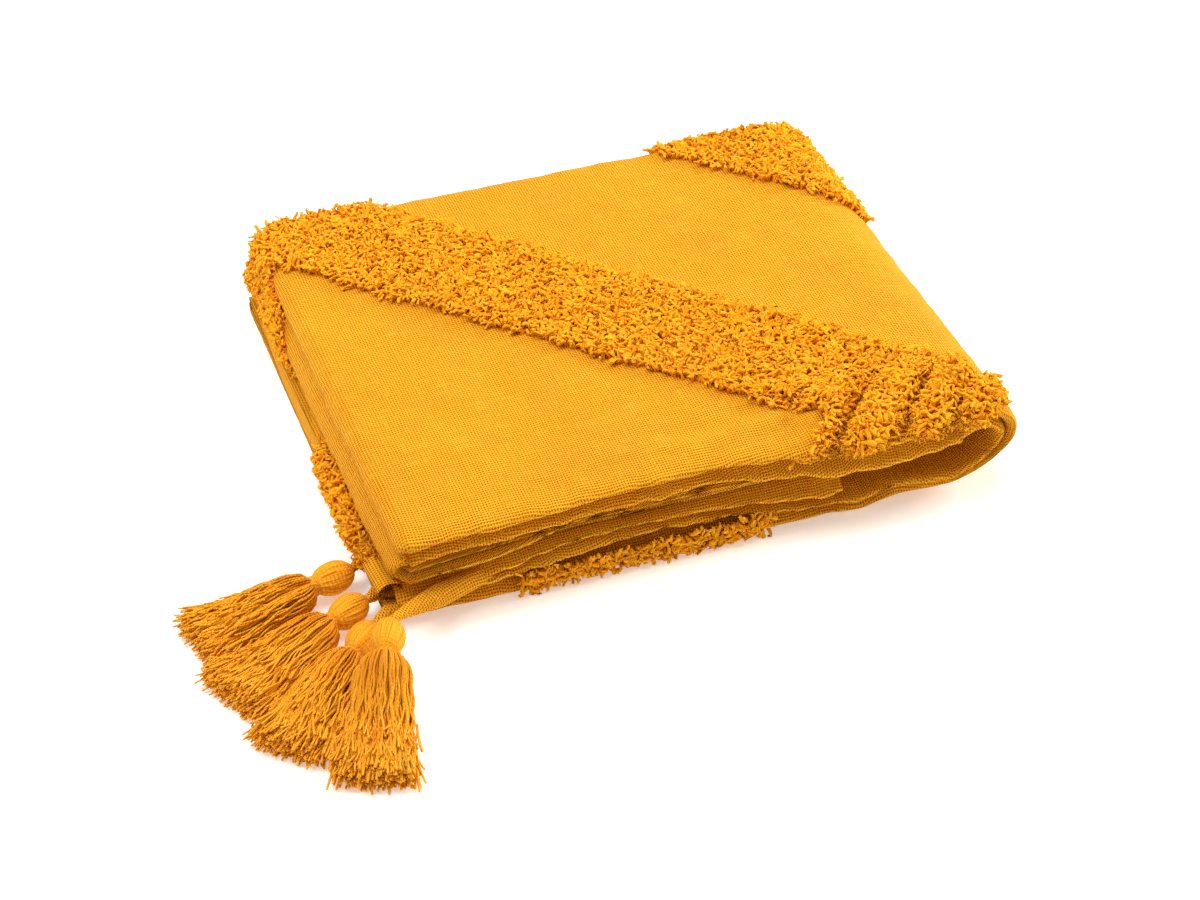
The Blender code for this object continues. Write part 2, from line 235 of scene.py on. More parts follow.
def ground_cloth_finish():
    """Plain weave of uneven cotton thread, in metres on the sheet's own UV map."""
    f = Finish("ground_cloth", Roughness=0.92, Sheen_Weight=0.12, Sheen_Roughness=0.6,
               Sheen_Tint=(1.0, 0.72, 0.32, 1.0), Specular_IOR_Level=0.15)
    flat = f.make("ShaderNodeTexCoord", out=2)
    along, across = (f.make("ShaderNodeSeparateXYZ", None, {0: flat}, out) for out in (0, 1))
    # threads counted both ways, wandering a little
    a = along / WEAVE + (f.noise(flat, 46.0) - 0.5) * 0.9
    b = across / WEAVE + (f.noise(flat, 41.0) - 0.5) * 0.9
    row, column = b.by("FLOOR"), a.by("FLOOR")
    round_b, round_a = (b * pi).by("SINE").by("ABSOLUTE"), (a * pi).by("SINE").by("ABSOLUTE")
    weft = round_b * (0.66 + 0.34 * ((a + row) * pi).by("SINE"))
    warp = round_a * (0.66 - 0.34 * ((b + column) * pi).by("SINE"))
    height = weft.by("MAXIMUM", warp)
    pore = (1.0 - round_a) * (1.0 - round_b)
    slub_along = f.noise(f.vector("MULTIPLY", flat, (38.0, 420.0, 1.0)), 1.0)
    slub_across = f.noise(f.vector("MULTIPLY", flat, (420.0, 38.0, 1.0)), 1.0)
    slub = slub_along * 0.5 + slub_across * 0.5
    fuzz = f.noise(flat, 1900.0)
    pore_shade_spread = f.noise(flat, 210.0, 3.0, 0.7)
    thread = height * (0.55 + 0.9 * slub) + fuzz * 0.2
    # painted shade: the gaps between the threads and the low parts of the weave are darkened
    unshaded = (1.14 - pore * (1.5 + 3.0 * pore_shade_spread) - 0.42 * (1.0 - height)).by("MINIMUM", 1.0)
    tone = (f.noise(flat, 13.0, 4.0, 0.7) - 0.5) * 2.0 + 0.5
    warm = f.blend(tone.by("MAXIMUM", 0.0).by("MINIMUM", 1.0), DEEP, BRIGHT)
    pore_shaded = f.blend(unshaded.by("MAXIMUM", 0.0), PORE_SHADE, warm)
    colour = f.blend(((slub - 0.5) * 2.2).by("MAXIMUM", 0.0), pore_shaded, SLUB)
    f.drive(Base_Color=colour, Normal=f.relief(thread, 1.0, 0.0009),
            Roughness=0.97 - 0.12 * height)
    return f.material


def yarn_finish(name, colours, twist):
    """Plied cotton yarn: painted shade at the root and in the grooves of its twist, fuller in the
    middle, paler at the cut end.
    """
    shade_colour, mid, pale = colours
    f = Finish(name, Sheen_Weight=0.15, Sheen_Roughness=0.5, Sheen_Tint=(1.0, 0.7, 0.3, 1.0),
               Specular_IOR_Level=0.12)
    place = f.make("ShaderNodeTexCoord", out=3)
    along, tint, around, length = (f.mark(m) for m in ("along", "tint", "around", "length"))
    ply = 0.5 + 0.5 * ((length / twist + around * 2.0) * tau).by("SINE")
    fuzz = f.noise(place, 1500.0)
    # painted shade: each yarn is darker towards its root, down among the others
    root = f.blend((along * 1.9).by("MINIMUM", 1.0), shade_colour, mid)
    shade = f.blend((0.60 * tint + 0.35 * (along * along)).by("MINIMUM", 1.0), root, pale)
    # painted shade in the grooves between the plies of the twist
    colour = f.blend(0.30 - 0.30 * ply, shade, shade_colour)
    f.drive(Base_Color=colour, Roughness=0.95 - 0.1 * ply,
            Normal=f.relief(ply * 0.7 + fuzz * 0.5, 0.8, 0.0004))
    return f.material


# ---- cloth ----

def line(*pairs):
    """A smooth curve through (x, value) pairs given in millimetres, read in metres."""
    xs, values = np.array(pairs, float).T * MM

    def read(x):
        x = np.asarray(x, float)
        steps = np.linspace(-0.009, 0.009, 7)
        return sum(np.interp(x + s, xs, values) for s in steps) / len(steps)
    return read


def ripple(x, pitch, seed):
    """A wandering wave between -1 and 1."""
    phases = np.random.default_rng(seed).uniform(0, tau, 4)
    waves = zip((1, 0.61, 1.73, 0.37), phases)
    return sum(np.sin(tau * x / (pitch * s) + p) for s, p in waves) / 2.6


# heights of the folded edges along the front, by x
FIRST_RIM = line((-190, 51), (-92, 52), (0, 52.5), (75, 51), (110, 49.5), (150, 50.5))
SECOND_RIM = line((-190, 39.5), (-92, 39.5), (0, 38.7), (33, 37), (61, 36.5), (106, 35.5),
                  (150, 39))
THIRD_RIM = line((-190, 13), (-150, 14), (-117, 21), (-92, 27), (-45, 27), (0, 24), (33, 22),
                 (80, 16.5))
FOURTH_RIM = line((-195, 5), (-180, 6), (-137, 14), (-92, 16.5), (-58, 19), (-31, 20), (16, 15.5),
                  (45, 13), (77, 10.5), (125, 10), (150, 10.4))
# how far forward those edges come
FRONT_LINE = line((-190, -156), (-180, -157), (-92, -153), (0, -149), (50, -156), (75, -160),
                  (110, -161), (150, -159.5))

# half sections of a folded edge: share of the way between the two sheets, and millimetres behind
# the front
BULL_NOSE = [(0, 34), (0.05, 22), (0.14, 13), (0.29, 6.5), (0.5, 2.8), (0.72, 0.7), (0.89, 0),
             (0.98, 1.0), (1, 4), (1, 10), (1, 20)]
DROOPING = [(0, 34), (0.01, 21), (0.06, 14), (0.16, 11.2), (0.34, 9.6), (0.52, 7.6), (0.68, 4.8),
            (0.83, 1.5), (0.94, 0.1), (0.995, 1.4), (1, 5), (1, 10), (1, 20)]
EVEN = [(0, 34), (0, 14), (0.02, 7), (0.12, 2.4), (0.3, 0.6), (0.5, 0), (0.7, 0.6), (0.88, 2.4),
        (0.98, 7), (1, 14), (1, 24)]
NOSE_STEPS = 22
TYPICAL_GAP = 0.009          # between the two sheets of such a fold
EDGE_FROM, EDGE_FADE = 0.055, 0.045   # the sheets close up to their edge behind the front
HIDDEN_ROWS = 14             # across each sheet that is covered by others
BACK_FOLD = ((0, 4), (0.1, 1.4), (0.35, 0.1), (0.65, 0.1), (0.9, 1.4), (1, 4))
TOP_HEM = ((0.75, 1.2), (0.6, 0.3), (0.4, 0), (0.2, 0.4), (0.06, 2), (0, 6))
LAST_HEM = ((0, 2), (0.1, 0.5), (0.3, 0.2), (0.5, 1))


def profile(points):
    """The half section, evenly spaced along its own length and smoothed."""
    p = np.array(points, float)
    p[:, 1] *= MM
    gaps = np.hypot(np.diff(p[:, 0]) * TYPICAL_GAP, np.diff(p[:, 1]))
    t = np.concatenate(([0], np.cumsum(gaps)))
    at = np.linspace(0, 1, NOSE_STEPS) * t[-1]
    share = np.interp(at, t, p[:, 0])
    depth = np.interp(at, t, p[:, 1])
    for _ in range(2):
        share[1:-1] = (share[:-2] + 2 * share[1:-1] + share[2:]) / 4
        depth[1:-1] = (depth[:-2] + 2 * depth[1:-1] + depth[2:]) / 4
    return np.stack((share, depth))


def smooth_share(t):
    """0 below 0, 1 above 1, and an even rise between."""
    t = np.clip(t, 0, 1)
    return t * t * (3 - 2 * t)


class Strip:
    """Four sheets folded to and fro across y, carried along a path in x and z.

    Sheet 1 has its hem at the back, folds at the front into sheet 2, at the back into sheet 3,
    at the front into sheet 4, and ends in a hem at the back."""

    def __init__(self):
        self.inside, self.edge, self.fronts, self.kinds = [], [], [], []

    def station(self, inside, edge, fronts, upright, bull):
        """(x, z) of each sheet inside and at the front edge, where the two front folds end in y,
        1 where sheet 1 is on top and -1 where it is below, and how round the outer fold is."""
        self.inside.append(inside)
        self.edge.append(edge)
        self.fronts.append(fronts)
        self.kinds.append((upright, bull))

    def build(self, fine):
        """Points of the strip's surface: stations by samples; fine is the spacing on sheet 1."""
        inside, edge, fronts, kinds = (
            np.array(v, float) for v in (self.inside, self.edge, self.fronts, self.kinds))
        n = len(inside)
        half = (kinds[:, 0] + 1) / 2
        bull = kinds[:, 1]
        level = np.zeros(n)
        round_nose, drooping, even = (profile(v) for v in (BULL_NOSE, DROOPING, EVEN))

        def nose(outer):
            """Share and depth at every station, upright or turned over."""
            steep = np.abs(kinds[:, 0])[:, None, None]
            up = round_nose * bull[:, None, None] + drooping * (1 - bull)[:, None, None] \
                if outer else np.repeat(drooping[None], n, 0)
            down = np.stack((1 - drooping[0][::-1], drooping[1][::-1]))[None]
            h = half[:, None, None]
            return (up * h + down * (1 - h)) * steep + even[None] * (1 - steep)

        rows = []                                   # each (sheet a, sheet b, share, y), n long

        def run(sheet, start, stop):
            count = int(0.28 / fine) if sheet == 1 else HIDDEN_ROWS
            for t in np.linspace(0, 1, count + 1)[1:-1]:
                rows.append((sheet, sheet, level, start + (stop - start) * t))

        def fold_back(a, b, section, beyond=0.0):
            for share, depth in section:
                rows.append((a, b, level + share, level + BACK + beyond - depth * MM))

        def fold_front(a, b, form, front):
            for i in range(NOSE_STEPS):
                rows.append((a, b, form[:, 0, i], front + form[:, 1, i]))

        first, second = nose(True), nose(False)
        fold_back(1, 2, TOP_HEM, 0.001)
        run(1, level + BACK - 0.006, fronts[:, 0] + first[:, 1, 0])
        fold_front(1, 2, first, fronts[:, 0])
        run(2, fronts[:, 0] + first[:, 1, -1], level + BACK - 0.005)
        fold_back(2, 3, BACK_FOLD)
        run(3, level + BACK - 0.005, fronts[:, 1] + second[:, 1, 0])
        fold_front(3, 4, second, fronts[:, 1])
        run(4, fronts[:, 1] + second[:, 1, -1], level + BACK - 0.002)
        fold_back(4, 3, LAST_HEM)

        grid = np.zeros((n, len(rows), 3))
        for j, (a, b, share, y) in enumerate(rows):
            front = fronts[:, 0] if max(a, b) <= 2 else fronts[:, 1]
            g = smooth_share((EDGE_FROM - (y - front)) / EDGE_FADE)[:, None]
            pa = inside[:, a - 1] * (1 - g) + edge[:, a - 1] * g
            pb = inside[:, b - 1] * (1 - g) + edge[:, b - 1] * g
            p = pa + (pb - pa) * share[:, None]
            grid[:, j, 0], grid[:, j, 1], grid[:, j, 2] = p[:, 0], y, p[:, 1]
        self.sheet_of = np.array([r[0] if r[0] == r[1] else (r[0] + r[1]) / 2 for r in rows])
        return grid


def normals_of(grid):
    du, dv = np.gradient(grid, axis=0), np.gradient(grid, axis=1)
    n = np.cross(du, dv)
    return n / np.maximum(np.linalg.norm(n, axis=2, keepdims=True), 1e-12)


def pushed(grid, amount):
    """The grid moved outwards along its own normals."""
    return grid + normals_of(grid) * np.asarray(amount)[..., None]


def creased(grid, amount, seed):
    """Gentle unevenness of resting cloth, the same wherever two pieces meet."""
    x, y, z = grid[..., 0], grid[..., 1], grid[..., 2]
    lift = 0.55 * ripple(x + 0.35 * y, 0.090, seed) + 0.45 * ripple(y - 0.2 * x, 0.060, seed + 1)
    lift += 0.35 * ripple(x * 0.8 + y * 1.1 + z, 0.033, seed + 2)
    return pushed(grid, lift * amount)


def lengths(grid):
    """UV map in metres: along the path and across the sheet."""
    u = np.linalg.norm(np.diff(grid, axis=0), axis=2)
    v = np.linalg.norm(np.diff(grid, axis=1), axis=2)
    u = np.concatenate((np.zeros((1, grid.shape[1])), np.cumsum(u, axis=0)))
    v = np.concatenate((np.zeros((grid.shape[0], 1)), np.cumsum(v, axis=1)), axis=1)
    return np.stack((u, v), axis=2)


def cells(rows, columns):
    """The numbers of a grid's points, and the four corners of each of its cells."""
    index = np.arange(rows * columns).reshape(rows, columns)
    return index, np.stack((index[:-1, :-1], index[1:, :-1], index[1:, 1:], index[:-1, 1:]), 2)


def smooth_mesh(name, points, faces, uv):
    mesh = bpy.data.meshes.new(name)
    mesh.from_pydata(points.tolist(), [], faces.tolist())
    corner = np.zeros(len(mesh.loops), np.int32)
    mesh.loops.foreach_get("vertex_index", corner)
    layer = mesh.uv_layers.new(name="UVMap")
    layer.data.foreach_set("uv", uv[corner].ravel().astype(np.float32))
    mesh.polygons.foreach_set("use_smooth", np.ones(len(mesh.polygons), bool))
    return mesh


def mesh_from_grid(name, grid, uv=None, keep=None, tall=1.0):
    """An open surface over the kept cells; tall is how long pile on it stands, as a share."""
    uv = lengths(grid) if uv is None else uv
    quads = cells(*grid.shape[:2])[1]
    quads = quads.reshape(-1, 4) if keep is None else quads[keep]
    used, renumbered = np.unique(quads, return_inverse=True)
    mesh = smooth_mesh(name, grid.reshape(-1, 3)[used], renumbered.reshape(-1, 4),
                       uv.reshape(-1, 2)[used])
    heights = (np.zeros(grid.shape[:2]) + tall).reshape(-1)[used].astype(np.float32)
    mesh.attributes.new("tall", "FLOAT", "POINT").data.foreach_set("value", heights)
    mesh.update()
    return placed(name, mesh)


def made_plain(ob):
    """The object's finished shape as a plain mesh, with its modifiers gone."""
    bpy.context.view_layer.update()
    graph = bpy.context.evaluated_depsgraph_get()
    mesh = bpy.data.meshes.new_from_object(ob.evaluated_get(graph), depsgraph=graph)
    ob.modifiers.clear()
    if ob.type == "MESH":
        ob.data = mesh
        return ob
    name = ob.name
    bpy.data.objects.remove(ob)
    return placed(name, mesh)


def sheet_of_cloth(name, grid, finish, thickness=CLOTH, uv=None, outwards=None):
    """A closed sheet of even thickness: both faces of the grid and a wall round its edge."""
    uv = lengths(grid) if uv is None else uv
    outwards = normals_of(grid) if outwards is None else outwards
    index, quads = cells(*grid.shape[:2])
    face, size = quads.reshape(-1, 4), index.size
    back = face[:, ::-1] + size
    edge = np.concatenate((index[:-1, 0], index[-1, :-1], index[:0:-1, -1], index[0, :0:-1]))
    onward = np.roll(edge, -1)
    wall = np.stack((onward, edge, edge + size, onward + size), 1)
    points = np.concatenate(((grid + outwards * thickness / 2).reshape(-1, 3),
                             (grid - outwards * thickness / 2).reshape(-1, 3)))
    flat = uv.reshape(-1, 2)
    mesh = smooth_mesh(name, points, np.concatenate((face, back, wall)),
                       np.concatenate((flat, flat)))
    aims = outwards.reshape(-1, 3)
    mesh.normals_split_custom_set_from_vertices(np.concatenate((aims, -aims)).tolist())
    mesh.update()
    mesh.materials.append(finish)
    return placed(name, mesh)


def by_share(first, fourth, shares=(0, 0.44, 0.56, 1)):
    """Where the four sheets are, from the places of the first and the fourth."""
    first, fourth = np.asarray(first, float), np.asarray(fourth, float)
    return [first + (fourth - first) * s for s in shares]


def through(points, count):
    """count points evenly along a smooth curve through the given ones, in millimetres."""
    p = np.array(points, float) * MM
    t = np.concatenate(([0], np.cumsum(np.linalg.norm(np.diff(p, axis=0), axis=1))))
    at = np.linspace(0, t[-1], count)
    q = np.stack([np.interp(at, t, p[:, i]) for i in range(p.shape[1])], 1)
    for _ in range(3):
        q[1:-1] = (q[:-2] + 2 * q[1:-1] + q[2:]) / 4
    return q


# heights of the four sheets inside the upper leaf, and after the left turn, inside and at the edge
UPPER_SHEETS = (0.0601, 0.0524, 0.0503, 0.0444)
TURNED_INSIDE = (0.0284, 0.0350, 0.0370, 0.0429)
TURNED_EDGE = (0.0294, 0.0338, 0.0357, 0.0388)
TOP_EDGE, FOLD_TOP_EDGE = 0.0588, 0.0399
TURN_REACH = (0.0112, 0.0078, 0.0060, 0.0020)    # how far each sheet goes past the turn's centre
HALF_CLOTH = 0.0009          # a sheet's middle lies this far from the face that shows


def lay_lower_leaf(strip):
    """Left to right, with sheet 1 on the floor."""
    low_first = line((-195, 1.0), (90, 1.0), (120, 1.8), (150, 5.0))
    low_fourth = line((-195, 20), (-165, 24.5), (60, 24.8), (90, 23.5), (120, 21), (150, 19.5))
    edge_first = line((-195, 1.2), (100, 1.2), (120, 2.2), (137, 4.0), (150, 5.6))
    edge_fourth = line((-195, 11), (-180, 12), (-150, 13), (-117, 20), (-92, 26), (-45, 26),
                       (0, 23), (33, 21), (77, 15.5), (100, 14.5), (150, 14.0))
    bottom_front = line((-195, -150), (-150, -152), (60, -151), (137, -155), (150, -156))
    fourth_front = line((-195, -152), (-150, -155), (-92, -154), (0, -151), (50, -155),
                        (150, -158))
    for x in np.linspace(LOWER_START, SEAM, int((SEAM - LOWER_START) / GRID)):
        inside = by_share((x, low_first(x)), (x, low_fourth(x)))
        rim = FOURTH_RIM(x) + 0.0007 * ripple(x, 0.05, 41)
        edge = [(x, edge_first(x)), (x, rim - 0.001), (x, rim + HALF_CLOTH), (x, edge_fourth(x))]
        fade = 1 - 0.75 * smooth_share((x - 0.09) / 0.06)
        fronts = (bottom_front(x), fourth_front(x) + 0.001 * ripple(x, 0.045, 42))
        strip.station(inside, edge, fronts, -fade, 0.0)


def lay_closed_fold(strip):
    """From below to above: outer and inner sheet, inside and at the front edge."""
    turns = 26
    paths = [through(points, turns) for points in (
        [(150, 5.0), (165, 9.6), (176, 15.5), (184.5, 22.5), (189.5, 30), (190.8, 38),
         (187.5, 46.5), (181, 53.2), (172, 57.6), (162, 59.6), (150, 60.1)],
        [(150, 19.5), (158.5, 20.4), (166, 22), (172, 24.8), (176.5, 28.4), (178.8, 32.4),
         (178.3, 36.4), (174.5, 40.2), (168, 42.8), (160, 44.1), (150, 44.4)],
        [(150, 5.6), (165, 10.0), (176, 15.5), (184.5, 22.5), (189.5, 30), (190.8, 38),
         (187.5, 46.2), (181, 52.6), (172, 56.8), (162, 58.4), (150, 58.8)],
        [(150, 14.0), (158, 16), (165, 18.8), (171, 22.5), (176.5, 27.2), (178.8, 31.6),
         (178.3, 35.6), (174.5, 39), (168, 40.8), (160, 40.8), (150, 39.9)])]
    first_rim, last_rim = FIRST_RIM(SEAM), FOURTH_RIM(SEAM)
    low_shares = (0, (last_rim - 0.001 - 0.0056) / 0.0084,
                  (last_rim + HALF_CLOTH - 0.0056) / 0.0084, 1)
    high_shares = (0, (TOP_EDGE - first_rim - HALF_CLOTH) / (TOP_EDGE - FOLD_TOP_EDGE),
                   (TOP_EDGE - first_rim + 0.001) / (TOP_EDGE - FOLD_TOP_EDGE), 1)
    for i in range(1, turns - 1):
        outer, inner, outer_edge, inner_edge = (path[i] for path in paths)
        t = i / (turns - 1)
        shares = [a + (b - a) * smooth_share(t) for a, b in zip(low_shares, high_shares)]
        tip = sin(pi * t)
        fronts = (-0.156 - 0.0035 * smooth_share(t) + 0.002 * tip,
                  -0.158 - 0.0005 * smooth_share(t) + 0.004 * tip)
        upright = -0.25 * (1 - t) * (1 - tip) + 1.0 * smooth_share((t - 0.55) / 0.45)
        strip.station(by_share(outer, inner), by_share(outer_edge, inner_edge, shares), fronts,
                      upright, 1.0)


def lay_top(strip):
    """Right to left, with sheet 1 on top."""
    for x in np.linspace(SEAM, LEFT_TURN, int((SEAM - LEFT_TURN) / GRID)):
        first = FIRST_RIM(x) + 0.0008 * ripple(x, 0.06, 31)
        second = SECOND_RIM(x) + 0.0010 * ripple(x, 0.05, 32)
        edge = [(x, TOP_EDGE), (x, first + HALF_CLOTH), (x, first - 0.001),
                (x, second + HALF_CLOTH)]
        front = FRONT_LINE(x) + 0.0009 * ripple(x, 0.055, 33)
        behind = 0.003 - 0.0045 * smooth_share((x - 0.02) / 0.06) + 0.0010 * ripple(x, 0.04, 34)
        strip.station([(x, z) for z in UPPER_SHEETS], edge, (front, front + behind), 1.0, 1.0)


def lay_left_turn(strip):
    """Round the closed left edge; the outer cloth goes underneath. It has a shallow groove under
    the top edge, and then a second, lower ridge."""
    last = strip.edge[-1]
    front = FRONT_LINE(LEFT_TURN)
    turns = 24
    for i in range(1, turns):
        angle = pi * i / turns
        ridge = 0.42 * np.exp(-((angle - 2.25) / 0.38) ** 2)
        groove = 0.42 * np.exp(-((angle - 1.33) / 0.30) ** 2)
        swell = 1 + ridge - groove
        inside, edge = [], []
        for k, reach in enumerate(TURN_REACH):
            for out, start, stop, pull in ((inside, UPPER_SHEETS[k], TURNED_INSIDE[k], 1.0),
                                           (edge, last[k][1], TURNED_EDGE[k], 0.9)):
                middle, radius = (start + stop) / 2, (start - stop) / 2
                out.append((LEFT_TURN - reach * pull * swell * sin(angle),
                            middle + radius * cos(angle)))
        swing = sin(angle)
        fronts = (front + 0.0020 * swing, front + 0.0030 + 0.0015 * swing)
        strip.station(inside, edge, fronts, cos(angle), 1.0)


def lay_roll_above(strip):
    """Back to the right: the upper half of the inner roll."""
    first_in = line((-176, 28.4), (-90, 35.8), (80, 36.0))
    first_edge = line((-176, 29.4), (-130, 32), (-92, 35.6), (80, 35.6))
    first_back = line((-176, -156), (-130, -155.5), (-100, -151), (-80, -146), (80, -145))
    second_back = line((-176, -153), (-100, -149), (-60, -145), (80, -144))
    for x in np.linspace(LEFT_TURN, INNER_END - 0.0015, 42):
        t = smooth_share((x - LEFT_TURN) / 0.09)
        curl = smooth_share((x - 0.070) / 0.010)
        low = first_in(x)
        inside = [(x, low), (x, low + (0.0066 * (1 - t) + 0.0020 * t)),
                  (x, low + (0.0086 * (1 - t) + 0.0039 * t)),
                  (x, TURNED_INSIDE[3] - 0.0008 * t - 0.0050 * curl)]
        high = min(SECOND_RIM(x) - 0.0012, TURNED_EDGE[3]) * t + TURNED_EDGE[3] * (1 - t)
        low = min(first_edge(x), high - 0.003)
        gap = high - low
        edge = [(x, low), (x, low + 0.30 * gap), (x, low + 0.55 * gap), (x, high - 0.002 * curl)]
        strip.station(inside, edge, (first_back(x), second_back(x)), -1.0, 0.0)


def lay_long_strip():
    """From the raw ends at the lower left, round the closed fold and over the top, and round the
    left turn into the upper half of the inner roll: one strip, cut where the leaves part."""
    strip, marks = Strip(), {}
    lay_lower_leaf(strip)
    marks["lower"] = (0, len(strip.inside))
    lay_closed_fold(strip)
    marks["fold"] = (marks["lower"][1] - 1, len(strip.inside) + 1)
    lay_top(strip)
    marks["turn"] = len(strip.inside)
    lay_left_turn(strip)
    lay_roll_above(strip)
    marks["upper"] = (marks["fold"][1] - 1, len(strip.inside))
    grid = creased(strip.build(GRID), 0.0007, 11)
    grid[..., 2] = np.maximum(grid[..., 2], ON_FLOOR)
    # the cloth is bunched where it turns down over the front edge
    lobe, drop = bunching(grid)
    drop *= strip.sheet_of <= 1.5
    grid = pushed(grid, 0.0062 * (lobe - 0.60) * drop)
    # the top sheet has a soft ridge where it starts to turn, and a hollow behind it
    x, y, z = grid[..., 0], grid[..., 1], grid[..., 2]
    on_top = smooth_share((z - 0.054) / 0.004)
    ridge = 0.0011 * np.exp(-((y + 0.127 + 0.004 * ripple(x, 0.2, 51)) / 0.0055) ** 2)
    ridge -= 0.0009 * np.exp(-((y + 0.114 + 0.004 * ripple(x, 0.2, 51)) / 0.006) ** 2)
    grid[..., 2] += on_top * ridge * smooth_share((0.09 - np.abs(x - 0.02)) / 0.05)
    return strip, grid, marks


def lay_inner_roll():
    """Lower half of the inner roll: four sheets, the rounded end at the right."""
    strip = Strip()
    first_edge = line((-190, 27), (-130, 30), (-92, 33.4), (80, 33.4))
    second_front = line((-190, -153), (-150, -155), (-92, -153), (0, -150), (33, -154),
                        (80, -156.5))
    for x in np.linspace(ROLL_START, INNER_END, int((INNER_END - ROLL_START) / GRID)):
        curl = smooth_share((x - 0.070) / 0.010)
        inside = [(x, 0.0339), (x, 0.0319), (x, 0.0300), (x, 0.0272 + 0.0020 * curl)]
        high = first_edge(x)
        rim = THIRD_RIM(x) + 0.0008 * ripple(x, 0.05, 21) + HALF_CLOTH
        edge = [(x, high), (x, high - 0.0019), (x, high - 0.0039), (x, rim + 0.0015 * curl)]
        front = second_front(x) + 0.001 * ripple(x, 0.045, 22)
        strip.station(inside, edge, (-0.145, front), 1.0, 0.0)
    return creased(strip.build(0.012), 0.0004, 12)


# ---- pile ----

class Weaver(Tree):
    """One Geometry Nodes tree. Its inputs are the given sizes, and a yarn's number of sides, a
    seed and a finish."""

    def __init__(self, name, sizes):
        self.tree = bpy.data.node_groups.new(name, "GeometryNodeTree")
        face = self.tree.interface
        face.new_socket("Geometry", in_out="INPUT", socket_type="NodeSocketGeometry")
        kinds = dict({label: "Float" for label in sizes}, Sides="Int", Seed="Int",
                     Finish="Material")
        self.ids = {}
        for label, kind in kinds.items():
            item = face.new_socket(label, in_out="INPUT", socket_type="NodeSocket" + kind)
            if label in sizes:
                item.default_value = sizes[label]
            self.ids[label] = item.identifier
        face.new_socket("Geometry", in_out="OUTPUT", socket_type="NodeSocketGeometry")
        self.entry = self.tree.nodes.new("NodeGroupInput")
        self.exit = self.tree.nodes.new("NodeGroupOutput")

    def given(self, label):
        return Thread(self, self.entry.outputs[label])

    def random(self, low, high, seed, kind="FLOAT"):
        slot = {"FLOAT": (2, 3, 1), "FLOAT_VECTOR": (0, 1, 0)}[kind]
        return self.make("FunctionNodeRandomValue", {"data_type": kind},
                         {slot[0]: low, slot[1]: high, "Seed": seed}, slot[2])

    def store(self, geometry, label, value, domain="POINT"):
        return self.make("GeometryNodeStoreNamedAttribute",
                         {"data_type": "FLOAT", "domain": domain},
                         {"Geometry": geometry, "Name": label, "Value": value})

    def carried(self, label):
        return self.make("GeometryNodeInputNamedAttribute", {"data_type": "FLOAT"},
                         {"Name": label})

    def wander(self, scale, detail):
        """A direction that changes smoothly from place to place."""
        noise = self.noise(self.make("GeometryNodeInputPosition"), scale, detail, out=1)
        return self.vector("SUBTRACT", noise, (0.5, 0.5, 0.5))

    def finish(self, geometry):
        whole = self.make("GeometryNodeRealizeInstances", None, {"Geometry": geometry})
        smooth = self.make("GeometryNodeSetShadeSmooth", None, {"Geometry": whole})
        done = self.make("GeometryNodeSetMaterial", None,
                         {"Geometry": smooth, "Material": self.given("Finish")})
        self.give(self.exit.inputs[0], done)

    def yarn(self, curve):
        """A round tube along the curve that knows how far along and round it each point is."""
        ring = self.make("GeometryNodeCurvePrimitiveCircle", {"mode": "RADIUS"},
                         {"Resolution": self.given("Sides"), "Radius": self.given("Radius")})
        ring = self.store(ring, "around", self.make("GeometryNodeSplineParameter"))
        curve = self.store(curve, "along", self.make("GeometryNodeSplineParameter"))
        curve = self.store(curve, "length", self.make("GeometryNodeSplineParameter", out=1))
        return self.make("GeometryNodeCurveToMesh", None,
                         {"Curve": curve, "Profile Curve": ring, "Fill Caps": True})


# the pile's yarns: least distance between their roots, length, radius, how much each leans
PILE = {"Spacing": 0.00106, "Length": 0.0066, "Radius": YARN / 2, "Lean": 0.36}


